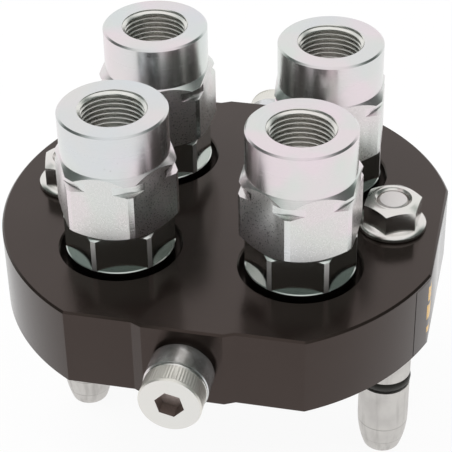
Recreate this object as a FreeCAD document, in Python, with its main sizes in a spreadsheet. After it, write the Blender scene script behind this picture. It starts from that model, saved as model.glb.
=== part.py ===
import FreeCAD, Part
import math
import os

import Sketcher

# One half of a four-line hydraulic multi-coupling.
# The origin is the middle of the plate's underside, which is the face that meets the other half.
# +Z points up, towards the threaded ports, and -Y is the front. Lengths are in millimetres.

# Driving dimensions. Each has a cell of its own in the sheet, and every sketch, feature and placement
# is bound to those cells.
SIZES = {
    # The plate: a disc with a flat in front, behind and on the right.
    "plate_radius": 57.05,
    "plate_depth": 98.4,
    "plate_side_cut": 2.99,
    "plate_thickness": 21.5,
    "plate_edge_break": 0.5,
    "pad_width": 19.5,
    "pad_rise": 1.25,
    "pad_slope_run": 2.6,
    # The four coupler seats in the plate.
    "coupler_spacing_across": 45.0,
    "coupler_spacing_deep": 40.4,
    "seat_bore_diameter": 30.0,
    "seat_bore_depth": 5.0,
    "seat_bore_break": 0.4,
    "shank_float": 0.5,
    "ring_bore_diameter": 31.0,
    "ring_bore_depth": 5.0,
    # The nipple body, from its nose up.
    "nose_diameter": 19.7,
    "nose_reach": 12.5,
    "nose_edge_break": 0.5,
    "nose_root_height": 0.35,
    "shank_diameter": 22.0,
    "collar_diameter": 27.0,
    "collar_height": 6.0,
    "collar_edge_break": 0.3,
    "body_hex_width": 24.0,
    "body_hex_height": 9.7,
    "body_hex_chamfer_width": 1.6,
    "body_hex_chamfer_height": 1.35,
    "mouth_diameter": 12.4,
    "mouth_depth": 4.0,
    "chamber_diameter": 16.4,
    "spigot_bore_diameter": 19.5,
    # The ring that holds each cartridge in the plate.
    "ring_thickness": 1.2,
    "ring_groove_diameter": 21.0,
    "ring_groove_play": 0.1,
    "ring_play": 0.25,
    "ring_band_diameter": 25.9,
    "ring_band_offset": 0.5,
    "ring_gap": 3.6,
    "ring_lug_diameter": 4.0,
    "ring_lug_reach": 12.6,
    "ring_lug_spread": 7.6,
    "ring_lug_hole_diameter": 1.8,
    # The port adapter, from its spigot up.
    "spigot_clearance": 0.05,
    "spigot_length": 9.0,
    "spigot_edge_break": 0.4,
    "spigot_mouth_diameter": 16.0,
    "adapter_seal_groove_rise": 1.3,
    "adapter_seal_groove_width": 2.5,
    "adapter_seal_groove_diameter": 16.6,
    "flow_bore_diameter": 12.0,
    "adapter_hex_width": 27.0,
    "adapter_hex_turned_diameter": 30.4,
    "adapter_hex_height": 12.8,
    "adapter_hex_chamfer_width": 1.8,
    "adapter_hex_chamfer_height": 1.3,
    "adapter_groove_diameter": 27.8,
    "adapter_groove_flank": 0.4,
    "adapter_groove_width": 2.2,
    "adapter_rim_diameter": 29.7,
    "adapter_rim_rise": 0.3,
    "neck_diameter": 26.5,
    "neck_height": 11.2,
    "neck_edge_break": 0.45,
    "port_thread_diameter": 14.95,
    "port_thread_depth": 14.0,
    "port_mouth_break": 0.9,
    # The valve: poppet, seal, spring and guide.
    "poppet_clearance": 0.06,
    "poppet_edge_break": 0.2,
    "poppet_seal_groove_rise": 1.3,
    "poppet_seal_groove_width": 1.6,
    "poppet_seal_groove_diameter": 9.8,
    "poppet_seal_side_play": 0.1,
    "poppet_seal_clearance": 0.04,
    "poppet_shoulder_diameter": 14.2,
    "poppet_shoulder_height": 2.0,
    "poppet_shoulder_break": 0.4,
    "spring_boss_diameter": 8.6,
    "spring_boss_height": 1.5,
    "stem_diameter": 5.0,
    "stem_length": 25.7,
    "stem_end_break": 0.5,
    "stem_clearance": 0.06,
    "poppet_stroke": 8.0,
    "stroke_reserve": 0.2,
    "guide_plate_thickness": 3.0,
    "guide_rim_clearance": 0.05,
    "guide_hub_diameter": 7.8,
    "guide_window_inner_diameter": 8.8,
    "guide_window_outer_diameter": 15.6,
    "guide_window_angle": 84.0,
    "spring_diameter": 10.4,
    "spring_wire": 1.2,
    "spring_turns": 6.0,
    "spring_end_play": 0.05,
    # The guide pins, with their rubber rings, studs and nuts.
    "pin_edge_distance": 15.05,
    "pin_right_offset": 0.5,
    "pin_left_offset": 3.5,
    "pin_diameter": 13.5,
    "pin_shoulder_break": 0.4,
    "pin_seat_depth": 0.3,
    "pin_seat_clearance": 0.5,
    "pin_spigot_diameter": 12.0,
    "pin_spigot_length": 6.0,
    "pin_spigot_clearance": 0.05,
    "pin_straight_reach": 40.8,
    "pin_nose_length": 10.8,
    "pin_tip_diameter": 9.6,
    "pin_tip_round": 0.9,
    "pin_groove_reach": 25.8,
    "pin_groove_width": 3.4,
    "pin_ring_section": 2.8,
    "pin_ring_proud": 0.2,
    "stud_diameter": 8.0,
    "stud_hole_diameter": 9.0,
    "stud_end_drop": 0.3,
    "stud_end_break": 0.8,
    "nut_clearance": 0.05,
    "nut_height": 8.0,
    "nut_hex_width": 13.0,
    "nut_flange_diameter": 17.0,
    "nut_flange_edge": 1.0,
    "nut_flange_rise": 2.4,
    "nut_top_diameter": 12.4,
    "nut_top_drop": 0.62,
    "nut_mouth_break": 0.6,
    # The cam screws and their rollers, front and back.
    "cam_offset": 0.25,
    "roller_diameter": 15.7,
    "roller_width": 6.6,
    "roller_hub_diameter": 13.6,
    "roller_hub_width": 1.05,
    "roller_edge_break": 0.25,
    "roller_side_play": 0.1,
    "roller_clearance": 0.05,
    "shoulder_diameter": 12.0,
    "cam_head_diameter": 15.3,
    "cam_head_height": 5.9,
    "cam_head_break": 0.8,
    "cam_socket_width": 6.2,
    "cam_socket_depth": 3.4,
    "cam_thread_diameter": 9.8,
    "cam_thread_length": 16.0,
    "cam_hole_clearance": 0.1,
    "cam_hole_spare": 2.0,
    # How far each hexagon happens to be turned about its own axis, in degrees.
    "adapter_turn_front_left": -61.7,
    "adapter_turn_front_right": -31.8,
    "adapter_turn_back_left": -34.0,
    "adapter_turn_back_right": -25.0,
    "body_turn_front_left": -42.7,
    "body_turn_front_right": -53.0,
    "body_turn_back_left": -34.0,
    "body_turn_back_right": -2.0,
    "nut_turn_left": -14.9,
    "nut_turn_right": -35.3,
    "cam_socket_turn": -14.0,
}

HEX_CORNER = 2 / math.sqrt(3)
# How far a cutting outline runs past the turned blank.
STOCK_ROOM = 5.0

doc = FreeCAD.newDocument("MultiCoupling")
sheet = doc.addObject("Spreadsheet::Sheet", "Sizes")
for row, (alias, number) in enumerate(SIZES.items(), start=1):
    sheet.set(f"A{row}", alias)
    sheet.set(f"B{row}", str(number))
    sheet.setAlias(f"B{row}", alias)
doc.recompute()


class Size:
    """A length that carries both its number and the sheet formula that gives it."""

    def __init__(self, formula, number):
        self.formula = formula
        self.number = number

    def combine(self, sign, other, number):
        return Size(f"({self.formula} {sign} {other.formula})", number)

    def __add__(self, other):
        other = as_size(other)
        return self.combine("+", other, self.number + other.number)

    def __sub__(self, other):
        other = as_size(other)
        return self.combine("-", other, self.number - other.number)

    def __mul__(self, other):
        other = as_size(other)
        return self.combine("*", other, self.number * other.number)

    def __truediv__(self, other):
        other = as_size(other)
        return self.combine("/", other, self.number / other.number)

    def __neg__(self):
        return Size(f"(0 - {self.formula})", -self.number)


def as_size(value):
    return value if isinstance(value, Size) else Size(repr(float(value)), float(value))


def of(alias):
    """The driving dimension of that name."""
    return Size(f"Sizes.{alias}", SIZES[alias])


def root(size):
    return Size(f"sqrt({size.formula})", math.sqrt(size.number))


ZERO = Size("0", 0.0)


# Levels on the Z axis that several pieces share.
plate_top = of("plate_thickness")
plate_middle = of("plate_thickness") / 2
seat_level = of("plate_thickness") - of("seat_bore_depth")
collar_top = seat_level + of("collar_height")
body_top = collar_top + of("body_hex_height")
spigot_end = body_top - of("spigot_length")
guide_level = spigot_end - of("guide_plate_thickness")
nose_face = -of("nose_reach")
shoulder_level = nose_face + of("mouth_depth")
spring_level = shoulder_level + of("poppet_shoulder_height")
boss_level = spring_level + of("spring_boss_height")
pin_seat_level = of("pin_seat_depth")
pin_spigot_top = pin_seat_level + of("pin_spigot_length")
ring_top = of("ring_bore_depth") - of("ring_play")
ring_bottom = ring_top - of("ring_thickness")
pad_face = of("plate_depth") / 2 + of("pad_rise")


def new_body(label):
    body = doc.addObject("PartDesign::Body", label)
    body.Label = label
    return body


def new_sketch(body, name, role, height=ZERO, turn=None):
    """An empty sketch on one of the body's own planes, raised along its normal and turned about it."""
    plane = next(item for item in body.Origin.OriginFeatures if item.Role == role)
    sketch = body.newObject("Sketcher::SketchObject", name)
    sketch.AttachmentSupport = [(plane, "")]
    sketch.MapMode = "FlatFace"
    if turn is not None:
        turned = FreeCAD.Rotation(FreeCAD.Vector(0, 0, 1), turn.number)
        sketch.AttachmentOffset = FreeCAD.Placement(FreeCAD.Vector(0, 0, 0), turned)
        sketch.setExpression("AttachmentOffset.Rotation.Angle", turn.formula)
    sketch.setExpression("AttachmentOffset.Base.z", height.formula)
    return sketch


def bind(sketch, kind, members, size, name):
    """Adds one driving constraint and ties it to the sheet."""
    index = sketch.addConstraint(Sketcher.Constraint(kind, *members, size.number))
    sketch.renameConstraint(index, name)
    sketch.setExpression(f"Constraints.{name}", size.formula)


def pin_point(sketch, geometry, place, across, up, name):
    """Holds a point of the sketch at its distances from the origin."""
    for axis, kind, size in ((-2, "DistanceX", across), (-1, "DistanceY", up)):
        if size is ZERO:
            sketch.addConstraint(Sketcher.Constraint("PointOnObject", geometry, place, axis))
        else:
            bind(sketch, kind, (-1, 1, geometry, place), size, f"{name}_{kind}")


def arc_between(start, end, radius):
    """The shorter arc from start to end, with its middle on the left where the radius is positive."""
    chord = end - start
    half = chord.Length / 2
    side = FreeCAD.Vector(-chord.y, chord.x, 0).normalize() * math.copysign(1, radius)
    middle = start + chord / 2 + side * math.sqrt(max(radius * radius - half * half, 0))
    first, last = (start, end) if radius > 0 else (end, start)
    angles = [math.atan2(point.y - middle.y, point.x - middle.x) for point in (first, last)]
    circle = Part.Circle(middle, FreeCAD.Vector(0, 0, 1), abs(radius))
    return Part.ArcOfCircle(circle, angles[0], angles[1])


def draw_outline(sketch, corners, name="edge"):
    """Closed outline through the corners. A third entry makes the edge after that corner an arc."""
    points = [FreeCAD.Vector(corner[0].number, corner[1].number, 0) for corner in corners]
    edges = []
    for index, corner in enumerate(corners):
        start, end = points[index], points[(index + 1) % len(points)]
        bent = len(corner) > 2
        curve = arc_between(start, end, corner[2].number) if bent else Part.LineSegment(start, end)
        geometry = sketch.addGeometry(curve, False)
        backwards = bent and corner[2].number < 0
        edges.append((geometry, 2 if backwards else 1, 1 if backwards else 2))
    for index, corner in enumerate(corners):
        geometry, head, tail = edges[index]
        following, next_head, _ = edges[(index + 1) % len(edges)]
        sketch.addConstraint(Sketcher.Constraint("Coincident", geometry, tail, following, next_head))
        pin_point(sketch, geometry, head, corner[0], corner[1], f"{name}{index}")
        if len(corner) > 2:
            radius = corner[2] if corner[2].number > 0 else -corner[2]
            bind(sketch, "Radius", (geometry,), radius, f"{name}{index}_radius")


def draw_circle(sketch, across, up, diameter, name):
    middle = FreeCAD.Vector(across.number, up.number, 0)
    circle = Part.Circle(middle, FreeCAD.Vector(0, 0, 1), diameter.number / 2)
    geometry = sketch.addGeometry(circle, False)
    pin_point(sketch, geometry, 3, across, up, name)
    bind(sketch, "Diameter", (geometry,), diameter, f"{name}_diameter")


def draw_hexagon(sketch, width):
    """Regular hexagon about the origin, with a corner on the first axis."""
    corner = width * (HEX_CORNER / 2)
    step = width * (HEX_CORNER / 4)
    flat = width / 2
    draw_outline(sketch, [
        (corner, ZERO), (step, flat), (-step, flat), (-corner, ZERO), (-step, -flat), (step, -flat),
    ], "hexagon")


def add_feature(body, kind, name, sketch, **settings):
    """Adds a feature made from a sketch, and checks that it adds or removes material as its kind should."""
    solid_so_far = body.Tip and not body.Tip.isDerivedFrom("Sketcher::SketchObject")
    before = body.Tip.Shape.Volume if solid_so_far else 0.0
    feature = body.newObject(f"PartDesign::{kind}", name)
    feature.Profile = sketch
    for key, value in settings.items():
        if isinstance(value, Size):
            feature.setExpression(key, value.formula)
        else:
            setattr(feature, key, value)
    doc.recompute()
    change = feature.Shape.Volume - before
    removes = kind in ("Pocket", "Groove")
    if abs(change) < 1e-3 or (change < 0) != removes:
        raise RuntimeError(f"{body.Label}: {name} changed the volume by {change:.3f}")
    return feature


def turn_solid(body, corners, name="Turned"):
    """Solid of revolution about the body's Z axis, from corners given as (radius, height)."""
    sketch = new_sketch(body, f"{name}Profile", "XZ_Plane")
    draw_outline(sketch, corners)
    return add_feature(body, "Revolution", name, sketch, ReferenceAxis=(sketch, ["V_Axis"]), Angle=360.0)


def turn_groove(body, corners, name):
    """Cut turned about the body's Z axis, from corners given as (radius, height)."""
    sketch = new_sketch(body, f"{name}Profile", "XZ_Plane")
    draw_outline(sketch, corners)
    return add_feature(body, "Groove", name, sketch, ReferenceAxis=(sketch, ["V_Axis"]), Angle=360.0)


def mill_hexagon(body, name, width, stock_diameter, top, height):
    """Mills six flats down from the top level, out of a turned blank."""
    sketch = new_sketch(body, f"{name}Sketch", "XY_Plane", top)
    draw_circle(sketch, ZERO, ZERO, stock_diameter, "stock")
    draw_hexagon(sketch, width)
    return add_feature(body, "Pocket", name, sketch, Length=height)


def place(body, across, deep, height=ZERO, turn=None):
    """Puts a finished body in its place in the assembly."""
    if turn is not None:
        upright = FreeCAD.Vector(0, 0, 1)
        turned = FreeCAD.Rotation(upright, turn.number)
        body.Placement = FreeCAD.Placement(FreeCAD.Vector(0, 0, 0), turned)
        body.setExpression("Placement.Rotation.Angle", turn.formula)
    for letter, size in (("x", across), ("y", deep), ("z", height)):
        body.setExpression(f"Placement.Base.{letter}", size.formula)


def coupler_places():
    """The four couplers, each with its place across and deep in the plate."""
    across = of("coupler_spacing_across") / 2
    deep = of("coupler_spacing_deep") / 2
    return {
        "front_left": (-across, -deep),
        "front_right": (across, -deep),
        "back_left": (-across, deep),
        "back_right": (across, deep),
    }


def pin_places():
    """The guide pins. One stands further back, so the halves can only meet one way round."""
    across = of("plate_radius") - of("pin_edge_distance")
    return {"left": (-across, of("pin_left_offset")), "right": (across, of("pin_right_offset"))}


def edges_at(shape, height, diameter=None):
    """Names of the edges that lie wholly at one height, and are circles of one size if that is given."""
    names = []
    for number, edge in enumerate(shape.Edges, start=1):
        box = edge.BoundBox
        level = abs(box.ZMin - height) < 1e-4 and abs(box.ZMax - height) < 1e-4
        round_edge = isinstance(edge.Curve, Part.Circle)
        wanted = diameter is None or (round_edge and abs(edge.Curve.Radius * 2 - diameter) < 1e-4)
        if level and wanted:
            names.append(f"Edge{number}")
    return names


def break_edges(body, name, base, edges, size, kind="Chamfer"):
    """Chamfers or rounds the named edges of the base feature."""
    before = base.Shape.Volume
    feature = body.newObject(f"PartDesign::{kind}", name)
    feature.Base = (base, edges)
    feature.setExpression("Size" if kind == "Chamfer" else "Radius", size.formula)
    doc.recompute()
    if not feature.Shape.Volume < before - 1e-4:
        raise RuntimeError(f"{body.Label}: {name} removed nothing")
    return feature


def make_plate():
    """The coupling plate: outline with three flats and two raised cam pads, then its bores."""
    body = new_body("coupling_plate")
    radius = of("plate_radius")
    flat = of("plate_depth") / 2
    side = radius - of("plate_side_cut")
    flat_end = root(radius * radius - flat * flat)
    side_end = root(radius * radius - side * side)
    pad_edge = of("pad_width") / 2
    pad_foot = pad_edge + of("pad_slope_run")
    sketch = new_sketch(body, "PlateOutline", "XY_Plane")
    draw_outline(sketch, [
        (flat_end, -flat, radius), (side, -side_end), (side, side_end, radius), (flat_end, flat),
        (pad_foot, flat), (pad_edge, pad_face), (-pad_edge, pad_face), (-pad_foot, flat),
        (-flat_end, flat, radius), (-radius, ZERO, radius), (-flat_end, -flat),
        (-pad_foot, -flat), (-pad_edge, -pad_face), (pad_edge, -pad_face), (pad_foot, -flat),
    ])
    slab = add_feature(body, "Pad", "Slab", sketch, Length=plate_top)
    rims = edges_at(slab.Shape, 0.0) + edges_at(slab.Shape, plate_top.number)
    break_edges(body, "OuterEdges", slab, rims, of("plate_edge_break"))

    def drill(name, places, diameter, role, level, **settings):
        bore_sketch = new_sketch(body, f"{name}Sketch", role, level)
        for index, (across, up) in enumerate(places):
            draw_circle(bore_sketch, across, up, diameter, f"bore{index}")
        return add_feature(body, "Pocket", name, bore_sketch, **settings)

    couplers = list(coupler_places().values())
    pins = list(pin_places().values())
    seat_diameter = of("seat_bore_diameter")
    seats = drill("CouplerSeats", couplers, seat_diameter, "XY_Plane", plate_top,
                  Length=of("seat_bore_depth"))
    mouths = edges_at(seats.Shape, plate_top.number, seat_diameter.number)
    break_edges(body, "SeatMouths", seats, mouths, of("seat_bore_break"))
    shank_bore = of("shank_diameter") + of("shank_float") * 2
    drill("ShankBores", couplers, shank_bore, "XY_Plane", plate_top, Length=plate_top)
    drill("RingBores", couplers, of("ring_bore_diameter"), "XY_Plane", ZERO,
          Length=of("ring_bore_depth"), Reversed=True)
    pin_seat = of("pin_diameter") + of("pin_seat_clearance") * 2
    pin_bore = of("pin_spigot_diameter") + of("pin_spigot_clearance") * 2
    drill("PinSeats", pins, pin_seat, "XY_Plane", ZERO, Length=pin_seat_level, Reversed=True)
    drill("PinBores", pins, pin_bore, "XY_Plane", ZERO, Length=pin_spigot_top, Reversed=True)
    drill("StudHoles", pins, of("stud_hole_diameter"), "XY_Plane", plate_top, Length=plate_top)
    cam_place = [(of("cam_offset"), plate_middle)]
    cam_hole = of("cam_thread_diameter") + of("cam_hole_clearance") * 2
    cam_depth = of("cam_thread_length") + of("cam_hole_spare")
    drill("FrontCamHole", cam_place, cam_hole, "XZ_Plane", pad_face, Length=cam_depth)
    drill("BackCamHole", cam_place, cam_hole, "XZ_Plane", -pad_face, Length=cam_depth, Reversed=True)
    place(body, ZERO, ZERO)


def make_nipple_body(position, across, deep):
    """Cartridge body: hexagon and collar on the plate, a shank through it and the flat nose below."""
    body = new_body(f"nipple_body_{position}")
    nose = of("nose_diameter") / 2
    shank = of("shank_diameter") / 2
    collar = of("collar_diameter") / 2
    groove = of("ring_groove_diameter") / 2
    bore = of("spigot_bore_diameter") / 2
    chamber = of("chamber_diameter") / 2
    mouth = of("mouth_diameter") / 2
    nose_break = of("nose_edge_break")
    collar_break = of("collar_edge_break")
    root_level = of("nose_root_height")
    turn_solid(body, [
        (mouth, nose_face), (nose - nose_break, nose_face), (nose, nose_face + nose_break),
        (nose, root_level), (shank, root_level + (shank - nose)),
        (shank, ring_bottom - of("ring_groove_play")), (groove, ring_bottom - of("ring_groove_play")),
        (groove, ring_top + of("ring_groove_play")), (shank, ring_top + of("ring_groove_play")),
        (shank, seat_level), (collar - collar_break, seat_level), (collar, seat_level + collar_break),
        (collar, body_top - of("body_hex_chamfer_height")),
        (collar - of("body_hex_chamfer_width"), body_top), (bore, body_top), (bore, guide_level),
        (chamber, guide_level), (chamber, shoulder_level), (mouth, shoulder_level),
    ])
    stock = of("collar_diameter") + STOCK_ROOM
    mill_hexagon(body, "WrenchFlats", of("body_hex_width"), stock, body_top, of("body_hex_height"))
    place(body, across, deep, ZERO, of(f"body_turn_{position}"))


def make_port_adapter(position, across, deep):
    """Port adapter: spigot, hexagon with a groove near its top, neck and the threaded port."""
    body = new_body(f"port_adapter_{position}")
    spigot = of("spigot_bore_diameter") / 2 - of("spigot_clearance")
    spigot_break = of("spigot_edge_break")
    spigot_mouth = of("spigot_mouth_diameter") / 2
    flow = of("flow_bore_diameter") / 2
    seal_bottom = spigot_end + of("adapter_seal_groove_rise")
    seal_top = seal_bottom + of("adapter_seal_groove_width")
    seal_root = of("adapter_seal_groove_diameter") / 2
    turned = of("adapter_hex_turned_diameter") / 2
    groove = of("adapter_groove_diameter") / 2
    rim = of("adapter_rim_diameter") / 2
    neck = of("neck_diameter") / 2
    port = of("port_thread_diameter") / 2
    neck_break = of("neck_edge_break")
    mouth_break = of("port_mouth_break")
    hex_top = body_top + of("adapter_hex_height")
    groove_bottom = hex_top + of("adapter_groove_flank")
    groove_top = groove_bottom + of("adapter_groove_width")
    rim_level = groove_top + of("adapter_rim_rise")
    neck_level = rim_level + (rim - neck)
    adapter_top = neck_level + of("neck_height")
    thread_end = adapter_top - mouth_break - of("port_thread_depth")
    turn_solid(body, [
        (spigot_mouth, spigot_end), (spigot - spigot_break, spigot_end),
        (spigot, spigot_end + spigot_break), (spigot, seal_bottom), (seal_root, seal_bottom),
        (seal_root, seal_top), (spigot, seal_top),
        (spigot, body_top), (turned - of("adapter_hex_chamfer_width"), body_top),
        (turned, body_top + of("adapter_hex_chamfer_height")), (turned, hex_top),
        (groove, groove_bottom), (groove, groove_top), (rim, rim_level), (neck, neck_level),
        (neck, adapter_top - neck_break), (neck - neck_break, adapter_top),
        (port + mouth_break, adapter_top), (port, adapter_top - mouth_break), (port, thread_end),
        (flow, thread_end - (port - flow)), (flow, spigot_end + (spigot_mouth - flow)),
    ])
    stock = of("adapter_hex_turned_diameter") + STOCK_ROOM
    mill_hexagon(body, "WrenchFlats", of("adapter_hex_width"), stock, neck_level, neck_level - body_top)
    place(body, across, deep, ZERO, of(f"adapter_turn_{position}"))


def make_adapter_seal(position, across, deep):
    """Rubber ring in the groove of the adapter's spigot."""
    body = new_body(f"adapter_seal_{position}")
    groove = of("adapter_seal_groove_diameter") / 2
    wall = of("spigot_bore_diameter") / 2
    height = spigot_end + of("adapter_seal_groove_rise") + of("adapter_seal_groove_width") / 2
    sketch = new_sketch(body, "Section", "XZ_Plane")
    width = wall - groove - of("spigot_clearance")
    draw_circle(sketch, groove + width / 2, height, width, "section")
    add_feature(body, "Revolution", "Ring", sketch, ReferenceAxis=(sketch, ["V_Axis"]), Angle=360.0)
    place(body, across, deep)


def make_spring_guide(position, across, deep):
    """Guide clamped under the spigot: a plate with three windows and a long hub for the poppet's stem."""
    body = new_body(f"spring_guide_{position}")
    rim = of("spigot_bore_diameter") / 2 - of("guide_rim_clearance")
    hub = of("guide_hub_diameter") / 2
    bore = of("stem_diameter") / 2 + of("stem_clearance")
    hub_end = boss_level + of("poppet_stroke") + of("stroke_reserve")
    turn_solid(body, [
        (bore, hub_end), (hub, hub_end), (hub, guide_level), (rim, guide_level), (rim, spigot_end),
        (bore, spigot_end),
    ])
    half = of("guide_window_angle") / 2
    inner = of("guide_window_inner_diameter") / 2
    outer = of("guide_window_outer_diameter") / 2
    sine = Size(f"sin({half.formula} * 1 deg)", math.sin(math.radians(half.number)))
    cosine = Size(f"cos({half.formula} * 1 deg)", math.cos(math.radians(half.number)))
    sketch = new_sketch(body, "WindowSketch", "XY_Plane", spigot_end)
    draw_outline(sketch, [
        (inner * cosine, -(inner * sine)), (outer * cosine, -(outer * sine), outer),
        (outer * cosine, outer * sine), (inner * cosine, inner * sine, -inner),
    ])
    window = add_feature(body, "Pocket", "Window", sketch, Length=of("guide_plate_thickness"))
    pattern = body.newObject("PartDesign::PolarPattern", "Windows")
    pattern.Originals = [window]
    pattern.Axis = (sketch, ["N_Axis"])
    pattern.Angle = 360.0
    pattern.Occurrences = 3
    body.Tip = pattern
    place(body, across, deep)


def make_poppet(position, across, deep):
    """Valve poppet: flush face, seal groove, shoulder that stops on the mouth, spring boss and stem."""
    body = new_body(f"valve_poppet_{position}")
    head = of("mouth_diameter") / 2 - of("poppet_clearance")
    groove = of("poppet_seal_groove_diameter") / 2
    shoulder = of("poppet_shoulder_diameter") / 2
    boss = of("spring_boss_diameter") / 2
    stem = of("stem_diameter") / 2
    edge = of("poppet_edge_break")
    corner = of("poppet_shoulder_break")
    stem_break = of("stem_end_break")
    groove_bottom = nose_face + of("poppet_seal_groove_rise")
    groove_top = groove_bottom + of("poppet_seal_groove_width")
    stem_top = spring_level + of("stem_length")
    turn_solid(body, [
        (ZERO, nose_face), (head - edge, nose_face), (head, nose_face + edge), (head, groove_bottom),
        (groove, groove_bottom), (groove, groove_top), (head, groove_top), (head, shoulder_level),
        (shoulder, shoulder_level), (shoulder, spring_level - corner), (shoulder - corner, spring_level),
        (boss, spring_level), (boss, boss_level), (stem, boss_level), (stem, stem_top - stem_break),
        (stem - stem_break, stem_top), (ZERO, stem_top),
    ])
    place(body, across, deep)


def make_poppet_seal(position, across, deep):
    """Sealing ring that runs in the nose's mouth, in the poppet's groove."""
    body = new_body(f"poppet_seal_{position}")
    inner = of("poppet_seal_groove_diameter") / 2
    outer = of("mouth_diameter") / 2 - of("poppet_seal_clearance")
    bottom = nose_face + of("poppet_seal_groove_rise") + of("poppet_seal_side_play")
    top = bottom + of("poppet_seal_groove_width") - of("poppet_seal_side_play") * 2
    turn_solid(body, [(inner, bottom), (outer, bottom), (outer, top), (inner, top)])
    place(body, across, deep)


def make_spring(position, across, deep):
    """Valve spring of square wire, between the poppet's shoulder and the guide."""
    body = new_body(f"valve_spring_{position}")
    wire = of("spring_wire")
    play = of("spring_end_play")
    inner = of("spring_diameter") / 2 - wire / 2
    outer = inner + wire
    start = spring_level + play
    sketch = new_sketch(body, "Wire", "XZ_Plane")
    draw_outline(sketch, [(inner, start), (outer, start), (outer, start + wire), (inner, start + wire)])
    room = guide_level - start - wire - play
    add_feature(body, "AdditiveHelix", "Coil", sketch, ReferenceAxis=(sketch, ["V_Axis"]),
                Mode="height-turns-angle", Height=room, Turns=of("spring_turns"))
    place(body, across, deep)


def make_retaining_ring(position, across, deep):
    """Spring-steel shaft ring: an open, tapering band with two eyed lugs at its gap."""
    body = new_body(f"retaining_ring_{position}")
    inner = of("ring_groove_diameter")
    thickness = of("ring_thickness")
    reach = of("ring_lug_reach")
    spread = of("ring_lug_spread") / 2
    slit = of("ring_gap") / 2
    band = new_sketch(body, "BandSketch", "XY_Plane", ring_bottom)
    draw_circle(band, ZERO, -of("ring_band_offset"), of("ring_band_diameter"), "band")
    add_feature(body, "Pad", "Band", band, Length=thickness)
    lugs = new_sketch(body, "LugSketch", "XY_Plane", ring_bottom)
    draw_circle(lugs, -spread, reach, of("ring_lug_diameter"), "left")
    draw_circle(lugs, spread, reach, of("ring_lug_diameter"), "right")
    add_feature(body, "Pad", "Lugs", lugs, Length=thickness)
    bore = new_sketch(body, "BoreSketch", "XY_Plane", ring_top)
    draw_circle(bore, ZERO, ZERO, inner, "bore")
    add_feature(body, "Pocket", "Bore", bore, Length=thickness)
    gap = new_sketch(body, "GapSketch", "XY_Plane", ring_top)
    beyond = reach + STOCK_ROOM
    draw_outline(gap, [(-slit, ZERO), (slit, ZERO), (slit, beyond), (-slit, beyond)])
    add_feature(body, "Pocket", "Gap", gap, Length=thickness)
    eyes = new_sketch(body, "EyeSketch", "XY_Plane", ring_top)
    draw_circle(eyes, -spread, reach, of("ring_lug_hole_diameter"), "left")
    draw_circle(eyes, spread, reach, of("ring_lug_hole_diameter"), "right")
    add_feature(body, "Pocket", "Eyes", eyes, Length=thickness)
    place(body, across, deep, ZERO, of(f"body_turn_{position}"))


def make_guide_pin(side, across, deep):
    """Guide pin: stud and spigot in the plate, shoulder in a shallow seat, ring groove, bullet nose."""
    body = new_body(f"guide_pin_{side}")
    pin = of("pin_diameter") / 2
    spigot = of("pin_spigot_diameter") / 2
    shoulder_break = of("pin_shoulder_break")
    stud = of("stud_diameter") / 2
    tip = of("pin_tip_diameter") / 2
    stud_break = of("stud_end_break")
    nut_top = plate_top + of("nut_height")
    stud_top = nut_top - of("stud_end_drop")
    groove_top = -of("pin_groove_reach")
    groove_bottom = groove_top - of("pin_groove_width")
    groove = pin + of("pin_ring_proud") - of("pin_ring_section")
    nose_level = -of("pin_straight_reach")
    tip_level = nose_level - of("pin_nose_length")
    taper = pin - tip
    nose_radius = (of("pin_nose_length") * of("pin_nose_length") + taper * taper) / (taper * 2)
    turned = turn_solid(body, [
        (ZERO, tip_level), (tip, tip_level, nose_radius), (pin, nose_level), (pin, groove_bottom),
        (groove, groove_bottom), (groove, groove_top), (pin, groove_top),
        (pin, pin_seat_level - shoulder_break), (pin - shoulder_break, pin_seat_level),
        (spigot, pin_seat_level), (spigot, pin_spigot_top), (stud, pin_spigot_top),
        (stud, stud_top - stud_break), (stud - stud_break, stud_top), (ZERO, stud_top),
    ])
    tip_edge = edges_at(turned.Shape, tip_level.number, of("pin_tip_diameter").number)
    break_edges(body, "TipRound", turned, tip_edge, of("pin_tip_round"), "Fillet")
    place(body, across, deep)


def make_pin_ring(side, across, deep):
    """Rubber ring that stands slightly proud of the guide pin."""
    body = new_body(f"pin_ring_{side}")
    section = of("pin_ring_section")
    middle = of("pin_diameter") / 2 + of("pin_ring_proud") - section / 2
    level = -of("pin_groove_reach") - of("pin_groove_width") / 2
    sketch = new_sketch(body, "Section", "XZ_Plane")
    draw_circle(sketch, middle, level, section, "section")
    add_feature(body, "Revolution", "Ring", sketch, ReferenceAxis=(sketch, ["V_Axis"]), Angle=360.0)
    place(body, across, deep)


def make_flange_nut(side, across, deep):
    """Flange nut on the guide pin's stud."""
    body = new_body(f"flange_nut_{side}")
    bore = of("stud_diameter") / 2 + of("nut_clearance")
    flange = of("nut_flange_diameter") / 2
    height = of("nut_height")
    mouth = of("nut_mouth_break")
    top = of("nut_top_diameter") / 2
    corner = of("nut_hex_width") * (HEX_CORNER / 2)
    turn_solid(body, [
        (bore, ZERO), (flange, ZERO), (flange, of("nut_flange_edge")), (top, of("nut_flange_rise")),
        (bore, of("nut_flange_rise")),
    ], "Flange")
    hexagon = new_sketch(body, "HexagonSketch", "XY_Plane", of("nut_flange_edge"))
    draw_hexagon(hexagon, of("nut_hex_width"))
    draw_circle(hexagon, ZERO, ZERO, bore * 2, "bore")
    add_feature(body, "Pad", "Hexagon", hexagon, Length=height - of("nut_flange_edge"))
    turn_groove(body, [
        (top, height), (corner + STOCK_ROOM, height),
        (corner + STOCK_ROOM, height - of("nut_top_drop") / (corner - top) * (corner + STOCK_ROOM - top)),
    ], "TopChamfer")
    turn_groove(body, [(bore, height), (bore + mouth, height), (bore, height - mouth)], "Mouth")
    place(body, across, deep, plate_top, of(f"nut_turn_{side}"))


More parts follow.
